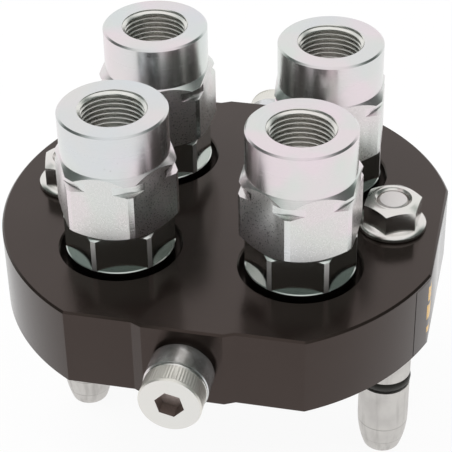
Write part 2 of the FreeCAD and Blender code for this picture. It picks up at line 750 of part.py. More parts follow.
def make_cam_screw(side, facing):
    """Shoulder screw that carries a cam roller: threaded end, shoulder, low head with a hexagon socket."""
    body = new_body(f"cam_screw_{side}")
    thread = of("cam_thread_diameter") / 2
    shoulder = of("shoulder_diameter") / 2
    head = of("cam_head_diameter") / 2
    edge = of("cam_head_break")
    head_level = shoulder_length()
    head_top = head_level + of("cam_head_height")
    turn_solid(body, [
        (ZERO, -of("cam_thread_length")), (thread, -of("cam_thread_length")), (thread, ZERO),
        (shoulder, ZERO), (shoulder, head_level), (head, head_level), (head, head_top - edge),
        (head - edge, head_top), (ZERO, head_top),
    ])
    socket = new_sketch(body, "SocketSketch", "XY_Plane", head_top, of("cam_socket_turn"))
    draw_hexagon(socket, of("cam_socket_width"))
    add_feature(body, "Pocket", "Socket", socket, Length=of("cam_socket_depth"))
    stand_out(body, facing)


def make_cam_roller(side, facing):
    """Roller that turns on the cam screw's shoulder, with a small hub towards the plate."""
    body = new_body(f"cam_roller_{side}")
    bore = of("shoulder_diameter") / 2 + of("roller_clearance")
    hub = of("roller_hub_diameter") / 2
    outer = of("roller_diameter") / 2
    edge = of("roller_edge_break")
    hub_end = of("roller_side_play")
    start = hub_end + of("roller_hub_width")
    end = start + of("roller_width")
    turn_solid(body, [
        (bore, hub_end), (hub, hub_end), (hub, start), (outer - edge, start), (outer, start + edge),
        (outer, end - edge), (outer - edge, end), (bore, end),
    ])
    stand_out(body, facing)


def shoulder_length():
    return of("roller_hub_width") + of("roller_width") + of("roller_side_play") * 2


def stand_out(body, facing):
    """Lays a piece that was turned upright on its side, so that it stands out of a cam pad."""
    turn = FreeCAD.Rotation(FreeCAD.Vector(1, 0, 0), -90 * facing)
    body.Placement = FreeCAD.Placement(FreeCAD.Vector(0, 0, 0), turn)
    deep = pad_face if facing > 0 else -pad_face
    for letter, size in (("x", of("cam_offset")), ("y", deep), ("z", plate_middle)):
        body.setExpression(f"Placement.Base.{letter}", size.formula)


make_plate()
for position, (across, deep) in coupler_places().items():
    make_port_adapter(position, across, deep)
    make_nipple_body(position, across, deep)
    make_adapter_seal(position, across, deep)
    make_spring_guide(position, across, deep)
    make_spring(position, across, deep)
    make_poppet(position, across, deep)
    make_poppet_seal(position, across, deep)
    make_retaining_ring(position, across, deep)
for side, (across, deep) in pin_places().items():
    make_guide_pin(side, across, deep)
    make_pin_ring(side, across, deep)
    make_flange_nut(side, across, deep)
for side, facing in (("front", -1), ("back", 1)):
    make_cam_screw(side, facing)
    make_cam_roller(side, facing)
doc.recompute()

for item in doc.Objects:
    if "Invalid" in item.State or "Error" in item.State:
        raise RuntimeError(f"{item.Label} failed: {item.State}")
bodies = [item for item in doc.Objects if item.isDerivedFrom("PartDesign::Body")]
for body in bodies:
    if body.Shape.isNull() or not body.Shape.isValid() or len(body.Shape.Solids) != 1:
        raise RuntimeError(f"{body.Label} is not one valid solid")
os.makedirs("parts", exist_ok=True)
for body in bodies:
    body.Shape.exportStep(os.path.join("parts", f"{body.Label}.step"))
print(f"{len(bodies)} pieces written")
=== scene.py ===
import math

import bpy
from mathutils import Matrix, Vector


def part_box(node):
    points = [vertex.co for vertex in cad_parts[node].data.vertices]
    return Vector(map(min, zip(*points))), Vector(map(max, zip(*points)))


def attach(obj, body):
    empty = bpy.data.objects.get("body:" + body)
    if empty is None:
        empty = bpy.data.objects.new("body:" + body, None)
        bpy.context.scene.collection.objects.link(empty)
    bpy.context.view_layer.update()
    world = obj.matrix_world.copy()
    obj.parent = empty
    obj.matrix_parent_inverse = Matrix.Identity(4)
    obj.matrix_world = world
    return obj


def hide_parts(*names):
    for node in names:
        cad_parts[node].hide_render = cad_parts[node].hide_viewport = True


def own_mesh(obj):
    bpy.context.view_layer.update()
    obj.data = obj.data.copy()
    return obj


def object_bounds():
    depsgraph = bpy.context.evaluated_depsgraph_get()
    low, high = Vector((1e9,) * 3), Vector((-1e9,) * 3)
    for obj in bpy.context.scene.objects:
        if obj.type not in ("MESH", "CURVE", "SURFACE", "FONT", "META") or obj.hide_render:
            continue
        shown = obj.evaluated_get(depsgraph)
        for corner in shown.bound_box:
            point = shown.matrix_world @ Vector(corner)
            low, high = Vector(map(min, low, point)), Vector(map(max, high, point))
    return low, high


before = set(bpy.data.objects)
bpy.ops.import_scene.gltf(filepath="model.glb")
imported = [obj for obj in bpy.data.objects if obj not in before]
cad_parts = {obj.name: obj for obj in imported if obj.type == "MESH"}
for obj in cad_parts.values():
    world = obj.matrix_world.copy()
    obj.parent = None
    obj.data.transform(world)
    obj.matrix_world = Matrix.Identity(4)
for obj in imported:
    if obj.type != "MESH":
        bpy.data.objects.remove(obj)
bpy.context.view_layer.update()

# Coupling plate: a disc milled from aluminium plate, with flats in front, behind and at the right and a
# raised pad for each cam screw. Its bores are cut from both faces, and it is then anodised black, with a
# brown cast.
mm = 0.001
plate_radius = 57.05 * mm
plate_flat = 49.2 * mm
plate_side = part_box("coupling_plate")[1].x
plate_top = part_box("coupling_plate")[1].z
plate_edge = 0.5 * mm
plate_steps = 288
pad_edge = 9.75 * mm
pad_foot = 12.35 * mm
pad_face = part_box("coupling_plate")[1].y
cam_across = 0.25 * mm
cam_level = plate_top / 2
cam_facings = {"front": -1, "back": 1}
couplers = {
    "front_left": Vector((-22.5, -20.2, 0)) * mm,
    "front_right": Vector((22.5, -20.2, 0)) * mm,
    "back_left": Vector((-22.5, 20.2, 0)) * mm,
    "back_right": Vector((22.5, 20.2, 0)) * mm,
}
pins = {"left": Vector((-42, 3.5, 0)) * mm, "right": Vector((42, 0.5, 0)) * mm}
# An outline's points give radius and height in millimetres, from the bottom up.
coupler_bore = (
    (0, -1), (15.5, -1), (15.5, 5), (11.5, 5), (11.5, 16.5), (15, 16.5), (15, 21.1), (16.4, 22.5), (0, 22.5),
)
pin_bore = ((0, -1), (7.25, -1), (7.25, 0.3), (6.05, 0.3), (6.05, 6.3), (4.5, 6.3), (4.5, 22.5), (0, 22.5))
cam_bore = ((0, -18), (5, -18), (5, 1), (0, 1))
round_steps = 144
# Points within a weld of each other become one. A hair off a plane, or near a wall, still counts as on it.
weld = 0.0002 * mm
hair = 0.001 * mm
near = 0.01 * mm
anodised_black = (0.009, 0.0066, 0.0055)
anodised_brown = (0.013, 0.0096, 0.0083)
brown_cast = (1.0, 0.76, 0.68)


def pick(piece):
    """Makes a piece the active one and the only one that is selected."""
    bpy.ops.object.select_all(action="DESELECT")
    piece.select_set(True)
    bpy.context.view_layer.objects.active = piece


def draw_line(points, closed):
    """A line through the points, extruded from each one to the next."""
    bpy.ops.object.select_all(action="DESELECT")
    bpy.ops.mesh.primitive_plane_add(size=mm)
    line = bpy.context.object
    bpy.ops.object.mode_set(mode="EDIT")
    bpy.ops.mesh.select_mode(type="VERT")
    bpy.ops.mesh.select_all(action="SELECT")
    bpy.ops.mesh.merge(type="CENTER")
    here = Vector(points[0])
    bpy.ops.transform.translate(value=here)
    for point in [*points[1:], *(points[:1] if closed else [])]:
        step = Vector(point) - here
        bpy.ops.mesh.extrude_region_move(TRANSFORM_OT_translate={"value": step})
        here = here + step
    bpy.ops.mesh.select_all(action="SELECT")
    bpy.ops.mesh.remove_doubles(threshold=weld)
    bpy.ops.object.mode_set(mode="OBJECT")
    return line


def face_outwards(solid):
    """Merges points that lie on each other, and turns every face outwards."""
    bpy.context.view_layer.objects.active = solid
    bpy.ops.object.mode_set(mode="EDIT")
    bpy.ops.mesh.select_mode(type="VERT")
    bpy.ops.mesh.select_all(action="SELECT")
    bpy.ops.mesh.remove_doubles(threshold=weld)
    bpy.ops.mesh.normals_make_consistent(inside=False)
    bpy.ops.object.mode_set(mode="OBJECT")


def turn_up(outline, steps=round_steps):
    """A turned solid, from its outline. One that starts on the axis also ends on it."""
    points = [(radius * mm, 0, height * mm) for radius, height in outline]
    solid = draw_line(points, closed=points[0][0] > 0)
    turned = solid.modifiers.new("turned", "SCREW")
    turned.steps = turned.render_steps = steps
    turned.use_merge_vertices = True
    turned.merge_threshold = hair
    bpy.ops.object.modifier_apply(modifier="turned")
    face_outwards(solid)
    return solid


def put_in_place(solid, place, turn=0.0, lean=0.0):
    """Leans a piece about X, turns it about Z and moves it, all in its mesh. Angles are in degrees."""
    pick(solid)
    solid.rotation_euler = (math.radians(lean), 0, math.radians(turn))
    solid.location = place
    bpy.ops.object.transform_apply(location=True, rotation=True, scale=True)
    return solid


def put_on_pad(solid, side):
    """Lays a piece on the cam axis at one side, with its foot at the plate's pad and its top outwards."""
    facing = cam_facings[side]
    return put_in_place(solid, (cam_across, facing * pad_face, cam_level), lean=-90 * facing)


def work_with(solid, tool, how="DIFFERENCE"):
    """Cuts, joins or trims a solid with a tool, and clears the tool away."""
    pick(solid)
    cut = solid.modifiers.new("cut", "BOOLEAN")
    cut.operation = how
    cut.solver = "EXACT"
    cut.object = tool
    bpy.ops.object.modifier_apply(modifier="cut")
    bpy.data.objects.remove(tool)
    return solid


def hand_over(piece, name, body, node=None, material=None, smooth_to=20):
    """Gives a modelled piece its finish and its body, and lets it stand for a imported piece."""
    pick(piece)
    piece.name = name
    if material:
        piece.data.materials.append(material)
    bpy.ops.object.shade_smooth_by_angle(angle=math.radians(smooth_to))
    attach(piece, body)
    if node:
        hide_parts(node)


def feed(tree, socket, value):
    """Links another node's output to a socket, or sets the socket to a number, a place or a colour."""
    if isinstance(value, bpy.types.NodeSocket):
        tree.links.new(value, socket)
    elif socket.type == "RGBA":
        socket.default_value = (*value, 1.0)
    else:
        socket.default_value = value


def add_node(tree, kind, settings=None, **inputs):
    """A new node, with its settings and with what goes into its named sockets."""
    node = tree.nodes.new(f"ShaderNode{kind}")
    for key, value in (settings or {}).items():
        setattr(node, key, value)
    for key, value in inputs.items():
        feed(tree, node.inputs[key.replace("_", " ")], value)
    return node


def reckon(tree, operation, first, second=0.0):
    """A sum, a product or the like of two numbers."""
    node = add_node(tree, "Math", {"operation": operation})
    feed(tree, node.inputs[0], first)
    feed(tree, node.inputs[1], second)
    return node.outputs[0]


def mix_colour(tree, share, first, second):
    node = add_node(tree, "Mix", {"data_type": "RGBA"})
    feed(tree, node.inputs[0], share)
    feed(tree, node.inputs[6], first)
    feed(tree, node.inputs[7], second)
    return node.outputs[2]


def spread(tree, value, low, high, to_low, to_high):
    """Stretches a value from one range to another, and stops at both ends."""
    node = add_node(tree, "MapRange", None, Value=value)
    for key, number in zip(("From Min", "From Max", "To Min", "To Max"), (low, high, to_low, to_high)):
        node.inputs[key].default_value = number
    return node.outputs[0]


def vary(tree, noise, low, high, first, second):
    """Drifts from one colour to another as the noise goes from low to high."""
    return mix_colour(tree, spread(tree, noise, low, high, 0.0, 1.0), first, second)


def speckle(tree, place, scale, detail=3.0, roughness=0.5):
    """Noise, with as many swells to the metre as its scale says."""
    noise = add_node(tree, "TexNoise", None, Vector=place, Scale=scale, Detail=detail, Roughness=roughness)
    return noise.outputs[0]


def new_finish(name):
    """A material, its node tree, its shader and the place on the object."""
    material = bpy.data.materials.new(name)
    material.use_nodes = True
    tree = material.node_tree
    place = add_node(tree, "TexCoord").outputs["Object"]
    return material, tree, tree.nodes["Principled BSDF"], place


def raise_marks(tree, shader, height, distance, strength):
    bump = add_node(tree, "Bump", None, Height=height, Distance=distance, Strength=strength)
    tree.links.new(bump.outputs[0], shader.inputs["Normal"])


def black_anodising():
    """A thin, even black layer, a little brown and cloudy, over finely milled aluminium."""
    material, tree, shader, place = new_finish("black_anodising")
    cloud = speckle(tree, place, 45.0, 4.0)
    grain = speckle(tree, place, 2400.0, 2.0, 0.6)
    feed(tree, shader.inputs["Base Color"], vary(tree, cloud, 0.35, 0.65, anodised_black, anodised_brown))
    rough = spread(tree, cloud, 0.3, 0.7, 0.15, 0.2)
    rough = reckon(tree, "ADD", rough, spread(tree, grain, 0.3, 0.7, -0.02, 0.03))
    feed(tree, shader.inputs["Roughness"], rough)
    feed(tree, shader.inputs["IOR"], 1.54)
    feed(tree, shader.inputs["Specular Tint"], brown_cast)
    raise_marks(tree, shader, grain, distance=0.003 * mm, strength=0.4)
    return material


bpy.ops.object.select_all(action="DESELECT")
bpy.ops.mesh.primitive_cylinder_add(vertices=plate_steps, radius=plate_radius, depth=plate_top)
plate = put_in_place(bpy.context.object, (0, 0, plate_top / 2))
bpy.ops.object.mode_set(mode="EDIT")
for outward, distance in (((0, 1, 0), plate_flat), ((0, -1, 0), plate_flat), ((1, 0, 0), plate_side)):
    flat = Vector(outward) * distance
    bpy.ops.mesh.select_all(action="SELECT")
    bpy.ops.mesh.bisect(plane_co=flat, plane_no=outward, clear_outer=True, use_fill=True, threshold=hair)
for across in (-pad_foot, -pad_edge, pad_edge, pad_foot):
    bpy.ops.mesh.select_all(action="SELECT")
    bpy.ops.mesh.bisect(plane_co=(across, 0, 0), plane_no=(1, 0, 0), threshold=hair)
bpy.ops.object.mode_set(mode="OBJECT")
for corner in plate.data.vertices:
    if abs(corner.co.x) < pad_edge + near and abs(corner.co.y) > plate_flat - near:
        corner.co.y = math.copysign(pad_face, corner.co.y)
edge_break = plate.modifiers.new("edge_break", "BEVEL")
edge_break.limit_method = "ANGLE"
edge_break.angle_limit = math.radians(60)
edge_break.width = plate_edge
edge_break.segments = 1
bpy.ops.object.modifier_apply(modifier="edge_break")
for place in couplers.values():
    work_with(plate, put_in_place(turn_up(coupler_bore), place))
for place in pins.values():
    work_with(plate, put_in_place(turn_up(pin_bore), place))
for side in cam_facings:
    work_with(plate, put_on_pad(turn_up(cam_bore), side))
hand_over(plate, "plate", "plate", "coupling_plate", black_anodising())

# Nipple bodies: free-cutting steel, turned and then milled to a 24 mm hexagon, bright zinc plated. Each one
# hangs in the plate by its collar, with the flat-face nose below.
body_outline = (
    (6.2, -12.5), (9.35, -12.5), (9.85, -12), (9.85, 0.35), (11, 1.5), (11, 3.45), (10.5, 3.45), (10.5, 4.85),
    (11, 4.85), (11, 16.5), (13.2, 16.5), (13.5, 16.8), (13.5, 22.2), (13.5, 30.85), (11.9, 32.2),
    (9.75, 32.2), (9.75, 20.2), (8.2, 20.2), (8.2, -8.5), (6.2, -8.5),
)
# The milling leaves the collar with a fine break round its upper edge.
body_milling = ((0, 22.5), (13.3, 22.5), (13.6, 22.2), (20, 22.2), (20, 40), (0, 40))
body_hexagon = 24 * mm
body_angles = {"front_left": -42.7, "front_right": -53.0, "back_left": -34.0, "back_right": -2.0}
# Upright faces past this radius and above this level are the turned corners that the milling leaves.
body_corner_radius = 13.4 * mm
body_corner_level = 22.3 * mm
bar_length = 100 * mm
overshoot = 1 * mm
# A face that looks up or down by less than this is upright.
upright = 0.01
zinc_grey = (0.72, 0.7, 0.68)
mill_green = (0.64, 0.68, 0.645)
pearl_pink = (0.78, 0.685, 0.73)
pearl_green = (0.68, 0.725, 0.695)
pearl_blue = (0.665, 0.69, 0.725)
pitted = (0.3, 0.29, 0.27)


def hexagon_bar(width, low, high):
    """An upright hexagonal bar with a corner on the first axis, as a tool for flats and sockets."""
    bpy.ops.object.select_all(action="DESELECT")
    bpy.ops.mesh.primitive_cylinder_add(vertices=6, radius=width / math.sqrt(3), depth=high - low)
    return put_in_place(bpy.context.object, (0, 0, (low + high) / 2), turn=30)


def flat_cutter(width, outline):
    """A turned ring with a hexagonal hole, which mills six flats."""
    return work_with(turn_up(outline), hexagon_bar(width, -overshoot, bar_length))


def repeat(names, *pieces):
    """Each name with its pieces: the modelled ones, and then copies that have meshes of their own."""
    sets = [pieces]
    while len(sets) < len(names):
        copies = []
        for piece in pieces:
            pick(piece)
            bpy.ops.object.duplicate()
            copies.append(bpy.context.object)
        sets.append(copies)
    return [(name, *copies) for name, copies in zip(names, sets)]


def reckon_place(tree, operation, first, second=(0, 0, 0)):
    """Vector maths on places. A length or a dot product comes back as a number."""
    node = add_node(tree, "VectorMath", {"operation": operation})
    feed(tree, node.inputs[0], first)
    feed(tree, node.inputs[1], second)
    return node.outputs["Value" if operation in ("LENGTH", "DOT_PRODUCT") else "Vector"]


def distance_from_axis(tree, place):
    """The distance from the nearest of the four coupler axes, for marks that run round them."""
    folded = reckon_place(tree, "ABSOLUTE", place)
    moved = reckon_place(tree, "SUBTRACT", folded, couplers["back_right"])
    level = reckon_place(tree, "MULTIPLY", moved, (1, 1, 0))
    return reckon_place(tree, "LENGTH", level)


def zinc_plate(name, roughness, grain_depth, turned=False, stain=0.6, mottle=0.0, grey=zinc_grey, relief=0.35,
               fineness=3000.0, metal=1.0):
    """Bright zinc over steel, with pearl tints and a few pits. A turned face also shows the tool's rings."""
    material, tree, shader, place = new_finish(name)
    cloud = speckle(tree, place, 70.0, 3.0)
    drift = speckle(tree, place, 60.0, 2.0)
    sway = speckle(tree, place, 31.0, 2.0)
    grain = speckle(tree, place, fineness, 2.0, 0.65)
    pearl = vary(tree, drift, 0.42, 0.58, pearl_pink, pearl_green)
    pearl = mix_colour(tree, spread(tree, sway, 0.46, 0.58, 0.0, 0.8), pearl, pearl_blue)
    tint = mix_colour(tree, spread(tree, cloud, 0.3, 0.7, stain / 3, stain), grey, pearl)
    cell = add_node(tree, "TexVoronoi", None, Vector=place, Scale=230.0).outputs["Distance"]
    pit = spread(tree, cell, 0.02, 0.05, 1.0, 0.0)
    pits = reckon(tree, "MULTIPLY", pit, spread(tree, cloud, 0.5, 0.55, 0.0, 0.4))
    tint = mix_colour(tree, pits, tint, pitted)
    if mottle:
        patches = speckle(tree, place, 170.0, 3.0, 0.55)
        tint = mix_colour(tree, spread(tree, patches, 0.45, 0.65, 0.0, mottle), tint, pitted)
    feed(tree, shader.inputs["Base Color"], tint)
    feed(tree, shader.inputs["Metallic"], metal)
    rough = spread(tree, grain, 0.25, 0.75, roughness - grain_depth, roughness + grain_depth)
    marks = grain
    if turned:
        level = add_node(tree, "SeparateXYZ", None, Vector=place).outputs["Z"]
        radius = distance_from_axis(tree, place)
        along = add_node(tree, "CombineXYZ", None, X=radius, Y=level, Z=0.0).outputs[0]
        marks = speckle(tree, along, 2800.0, 3.0, 0.7)
        rough = reckon(tree, "ADD", rough, spread(tree, marks, 0.3, 0.7, -0.05, 0.07))
    feed(tree, shader.inputs["Roughness"], rough)
    raise_marks(tree, shader, marks, distance=0.004 * mm, strength=relief)
    return material


milled_zinc = zinc_plate("zinc_on_milled_flats", roughness=0.13, grain_depth=0.03, stain=0.3, grey=mill_green)
corner_zinc = zinc_plate("zinc_on_turned_corners", roughness=0.55, grain_depth=0.05, stain=0.3)
nipple = turn_up(body_outline)
work_with(nipple, flat_cutter(body_hexagon, body_milling))
face_outwards(nipple)
for material in (milled_zinc, corner_zinc):
    nipple.data.materials.append(material)
for face in nipple.data.polygons:
    off_flat = face.center.xy.length > body_corner_radius and abs(face.normal.z) < upright
    face.material_index = int(off_flat and face.center.z > body_corner_level)
for position, nipple in repeat(couplers, nipple):
    put_in_place(nipple, couplers[position], turn=body_angles[position])
    hand_over(nipple, f"nipple_{position}", f"cartridge_{position}", f"nipple_body_{position}")

# Retaining rings: open rings stamped from spring steel and phosphated. Each one snaps into the groove of a
# nipple body from below and holds it in the plate.
phosphate_black = (0.17, 0.16, 0.155)


def steel(name, shade, roughness):
    """Bare or phosphated steel with an even, slightly mottled film of oil."""
    material, tree, shader, place = new_finish(name)
    grain = speckle(tree, place, 1800.0)
    dark = tuple(part * 0.8 for part in shade)
    feed(tree, shader.inputs["Base Color"], vary(tree, grain, 0.3, 0.7, dark, shade))
    feed(tree, shader.inputs["Metallic"], 1.0)
    feed(tree, shader.inputs["Roughness"], spread(tree, grain, 0.3, 0.7, roughness - 0.06, roughness + 0.06))
    return material


def dress(node, material):
    """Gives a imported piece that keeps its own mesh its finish."""
    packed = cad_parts[node]
    packed.data.materials.clear()
    packed.data.materials.append(material)


phosphated = steel("phosphated_spring_steel", phosphate_black, roughness=0.42)
for position in couplers:
    dress(f"retaining_ring_{position}", phosphated)

# Valve poppets and their seals: a turned steel poppet whose face closes flush with the nose, and a ring of
# filled plastic in its groove.
poppet_outline = (
    (0, -12.5), (5.94, -12.5), (6.14, -12.3), (6.14, -11.2), (4.9, -11.2), (4.9, -9.6), (6.14, -9.6),
    (6.14, -8.5), (7.1, -8.5), (7.1, -6.9), (6.7, -6.5), (4.3, -6.5), (4.3, -5), (2.5, -5), (2.5, 18.7),
    (2, 19.2), (0, 19.2),
)
slim_steps = 96
seal_ivory = (0.62, 0.58, 0.5)


def moulding(name, shade, roughness):
    """Rubber or plastic as it leaves its mould, smooth and a little uneven in gloss."""
    material, tree, shader, place = new_finish(name)
    cloud = speckle(tree, place, 420.0)
    dark = tuple(part * 0.85 for part in shade)
    feed(tree, shader.inputs["Base Color"], vary(tree, cloud, 0.3, 0.7, dark, shade))
    feed(tree, shader.inputs["Roughness"], spread(tree, cloud, 0.3, 0.7, roughness - 0.05, roughness + 0.05))
    return material


turned_zinc = zinc_plate("zinc_on_turned_steel", roughness=0.22, grain_depth=0.03, turned=True, stain=1.0)
seal_plastic = moulding("filled_seal_plastic", seal_ivory, roughness=0.5)
poppet = turn_up(poppet_outline, slim_steps)
for position, poppet in repeat(couplers, poppet):
    put_in_place(poppet, couplers[position])
    hand_over(poppet, f"poppet_{position}", f"poppet_{position}", f"valve_poppet_{position}",
              turned_zinc)
    dress(f"poppet_seal_{position}", seal_plastic)

# Valve springs: round spring-steel wire, wound in six turns between the poppet's shoulder and the guide. They
# shorten as the poppet is pushed in.
spring_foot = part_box("valve_spring_front_left")[0].z
spring_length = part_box("valve_spring_front_left")[1].z - spring_foot
wire_radius = 0.6 * mm
wire_sides = 12
coil_radius = 5.2 * mm
coil_turns = 6
coil_steps = 40
oiled_grey = (0.42, 0.41, 0.39)
spring_wire = steel("oiled_spring_wire", oiled_grey, roughness=0.3)

bpy.ops.object.select_all(action="DESELECT")
bpy.ops.mesh.primitive_circle_add(
    vertices=wire_sides, radius=wire_radius, fill_type="NGON", rotation=(math.radians(90), 0, 0),
    location=(coil_radius, 0, spring_foot + wire_radius))
spring = bpy.context.object
bpy.ops.object.transform_apply(location=True, rotation=True, scale=True)
wound = spring.modifiers.new("wound", "SCREW")
wound.screw_offset = (spring_length - 2 * wire_radius) / coil_turns
wound.iterations = coil_turns
wound.steps = wound.render_steps = coil_steps
bpy.ops.object.modifier_apply(modifier="wound")
bpy.ops.object.mode_set(mode="EDIT")
bpy.ops.mesh.select_all(action="SELECT")
bpy.ops.mesh.fill_holes(sides=0)
bpy.ops.object.mode_set(mode="OBJECT")
face_outwards(spring)
for position, spring in repeat(couplers, spring):
    place = couplers[position]
    put_in_place(spring, place)
    hand_over(spring, f"spring_{position}", f"cartridge_{position}",
              f"valve_spring_{position}", spring_wire, smooth_to=40)
    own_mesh(spring)

# Spring guides and adapter seals: a pierced steel plate with a long hub under each adapter's spigot, and a
# black nitrile ring round the spigot.
guide_grey = (0.5, 0.49, 0.47)
rubber_black = (0.022, 0.02, 0.016)
guide_steel = steel("turned_guide_steel", guide_grey, roughness=0.3)
black_rubber = moulding("black_nitrile_rubber", rubber_black, roughness=0.5)
for position in couplers:
    dress(f"spring_guide_{position}", guide_steel)
    dress(f"adapter_seal_{position}", black_rubber)

# Port adapters: 27 mm hexagon bar, with the neck, the groove and the port turned into it, bright zinc plated.
# The port is tapped with a G 3/8 thread, which runs out above the flow bore.
adapter_hexagon = 27 * mm
adapter_angles = {"front_left": -61.7, "front_right": -31.8, "back_left": -34.0, "back_right": -25.0}
adapter_top = 60.7 * mm
thread_bottom = 45.8 * mm
thread_pitch = 1.337 * mm
thread_core = 7.475 * mm
thread_depth = 0.640327 * thread_pitch
thread_run_out = 1.6 * thread_pitch
thread_steps = 96
mouth_radius = 8.375 * mm
# The last five points are the port: its mouth's cone, the thread's core, a cone below and the flow bore.
adapter_outline = (
    (8, 23.2), (9.3, 23.2), (9.7, 23.6), (9.7, 24.5), (8.3, 24.5), (8.3, 27), (9.7, 27), (9.7, 32.2),
    (13.4, 32.2), (15.2, 33.5), (15.2, 45), (13.9, 45.4), (13.9, 47.6), (14.85, 47.9), (13.25, 49.5),
    (13.25, 60.25), (12.8, 60.7), (8.375, 60.7), (7.475, 59.8), (7.475, 45.8), (6, 44.325), (6, 25.2),
)
# One turn of the 55 degree form, from crest to crest: share of the pitch, share of the depth.
thread_form = (
    (0.0, 0.0), (0.09, 0.05), (0.16, 0.2), (0.34, 0.8), (0.41, 0.95), (0.5, 1.0),
    (0.59, 0.95), (0.66, 0.8), (0.84, 0.2), (0.91, 0.05), (1.0, 0.0),
)
# The threaded wall ends this far short of the port's ends, and a narrow band closes the rest.
seam = 0.04 * mm
port_grey = (0.83, 0.82, 0.77)


def cut_thread():
    """The threaded wall, turned up by a screw from one pitch of its outline."""
    start = thread_bottom - thread_pitch
    wall = draw_line([(thread_core + depth * thread_depth, 0, start + share * thread_pitch)
                      for share, depth in thread_form], closed=False)
    helix = wall.modifiers.new("helix", "SCREW")
    helix.screw_offset = thread_pitch
    helix.iterations = math.ceil((adapter_top - thread_bottom) / thread_pitch) + 1
    helix.steps = helix.render_steps = thread_steps
    bpy.ops.object.modifier_apply(modifier="helix")
    face_outwards(wall)
    bpy.ops.object.mode_set(mode="EDIT")
    for level, outward in ((adapter_top - seam, 1), (thread_bottom + seam, -1)):
        bpy.ops.mesh.select_all(action="SELECT")
        bpy.ops.mesh.bisect(
            plane_co=(0, 0, level), plane_no=(0, 0, outward), clear_outer=True, threshold=hair)
    bpy.ops.object.mode_set(mode="OBJECT")
    for corner in wall.data.vertices:
        run_out = min(1.0, (corner.co.z - thread_bottom - seam) / thread_run_out)
        depth = (corner.co.xy.length - thread_core) * run_out
        cone = mouth_radius - (adapter_top - corner.co.z)
        corner.co.xy = corner.co.xy.normalized() * max(thread_core + depth, cone)
    return wall


def unpick(solid, mode):
    """Leaves nothing selected in a mesh, so that faces or edges can be picked by their place."""
    bpy.context.view_layer.objects.active = solid
    bpy.ops.object.mode_set(mode="EDIT")
    bpy.ops.mesh.select_mode(type=mode)
    bpy.ops.mesh.select_all(action="DESELECT")
    bpy.ops.object.mode_set(mode="OBJECT")


def open_rims(solid, level):
    """The loose edges near a level."""
    unpick(solid, "EDGE")
    bpy.ops.object.mode_set(mode="EDIT")
    bpy.ops.mesh.select_non_manifold()
    bpy.ops.object.mode_set(mode="OBJECT")
    corners = solid.data.vertices
    loose = [edge for edge in solid.data.edges if edge.select]
    return [edge.index for edge in loose
            if all(abs(corners[end].co.z - level) < 2 * seam for end in edge.vertices)]


def tap_port(adapter):
    """Takes out the plain wall of the port and closes the threaded one in its place."""
    unpick(adapter, "FACE")
    for face in adapter.data.polygons:
        corners = [adapter.data.vertices[index].co for index in face.vertices]
        inside = all(corner.xy.length < mouth_radius + near for corner in corners)
        face.select = inside and all(corner.z > thread_bottom - near for corner in corners)
    bpy.ops.object.mode_set(mode="EDIT")
    bpy.ops.mesh.delete(type="FACE")
    bpy.ops.object.mode_set(mode="OBJECT")
    wall = cut_thread()
    pick(adapter)
    wall.select_set(True)
    bpy.ops.object.join()
    for level in (adapter_top, thread_bottom):
        rims = open_rims(adapter, level)
        unpick(adapter, "EDGE")
        for index in rims:
            adapter.data.edges[index].select = True
            for corner in adapter.data.edges[index].vertices:
                adapter.data.vertices[corner].select = True
        bpy.ops.object.mode_set(mode="EDIT")
        bpy.ops.mesh.bridge_edge_loops()
        bpy.ops.object.mode_set(mode="OBJECT")
    face_outwards(adapter)


drawn_zinc = zinc_plate("zinc_on_drawn_bar", roughness=0.31, grain_depth=0.08, relief=0.55, fineness=2400.0)
tapped_zinc = zinc_plate("zinc_in_tapped_ports", roughness=0.28, grain_depth=0.03, turned=True, stain=0.3,
                         grey=port_grey)
adapter = turn_up(adapter_outline)
work_with(adapter, hexagon_bar(adapter_hexagon, 0.0, bar_length), "INTERSECT")
tap_port(adapter)
for material in (turned_zinc, drawn_zinc, tapped_zinc):
    adapter.data.materials.append(material)
for face in adapter.data.polygons:
    reach = face.normal.xy.dot(face.center.xy)
    on_flat = abs(face.normal.z) < upright and abs(reach - adapter_hexagon / 2) < near
    in_port = face.center.z > thread_bottom and face.center.xy.length < mouth_radius - near
    face.material_index = 1 if on_flat else 2 if in_port else 0
for position, adapter in repeat(couplers, adapter):
    put_in_place(adapter, couplers[position], turn=adapter_angles[position])
    hand_over(adapter, f"adapter_{position}", f"cartridge_{position}",
              f"port_adapter_{position}")

# Guide pins: ground steel, left matte, with a bullet nose and a rubber ring in a groove. A stud on top goes
# through the plate and takes a zinc-plated flange nut.
# Sizes for the pin's outline, in millimetres.
pin_radius = 6.75
pin_nose_level = -40.8
pin_tip_level = -51.6
pin_tip_radius = 4.8
pin_tip_round = 0.9
groove_low = -29.2
groove_high = -25.8
groove_radius = 4.15
stud_bottom = 6.3
nose_steps = 12
# Two fine dark rings run round the nose, at these levels in millimetres.
nose_rings = (-42.3, -47.6)
nose_ring_width = 0.3 * mm
ring_radius = 5.55 * mm
ring_cord = 1.4 * mm
ring_cord_steps = 24
nut_angles = {"left": -14.9, "right": -35.3}
nut_hexagon = 13 * mm
flange_outline = (
    (0, 0), (8.2, 0), (8.5, 0.3), (8.5, 0.8), (8.42, 1.1), (8.2, 1.35), (7.9, 1.55), (7.4, 1.75), (6.8, 1.95),
    (6.3, 2.25), (6.1, 2.6), (0, 2.6),
)
hexagon_outline = (
    (0, 1), (7.51, 1), (7.51, 6.9), (5.75, 7.8), (5.45, 7.93), (5.15, 7.99), (4.9, 8), (0, 8),
)
nut_bore = ((0, -1), (4.05, -1), (4.05, 7.45), (4.5, 7.85), (4.65, 8.05), (4.8, 9), (0, 9))
pin_dark = (0.55, 0.53, 0.51)
pin_light = (0.65, 0.63, 0.605)
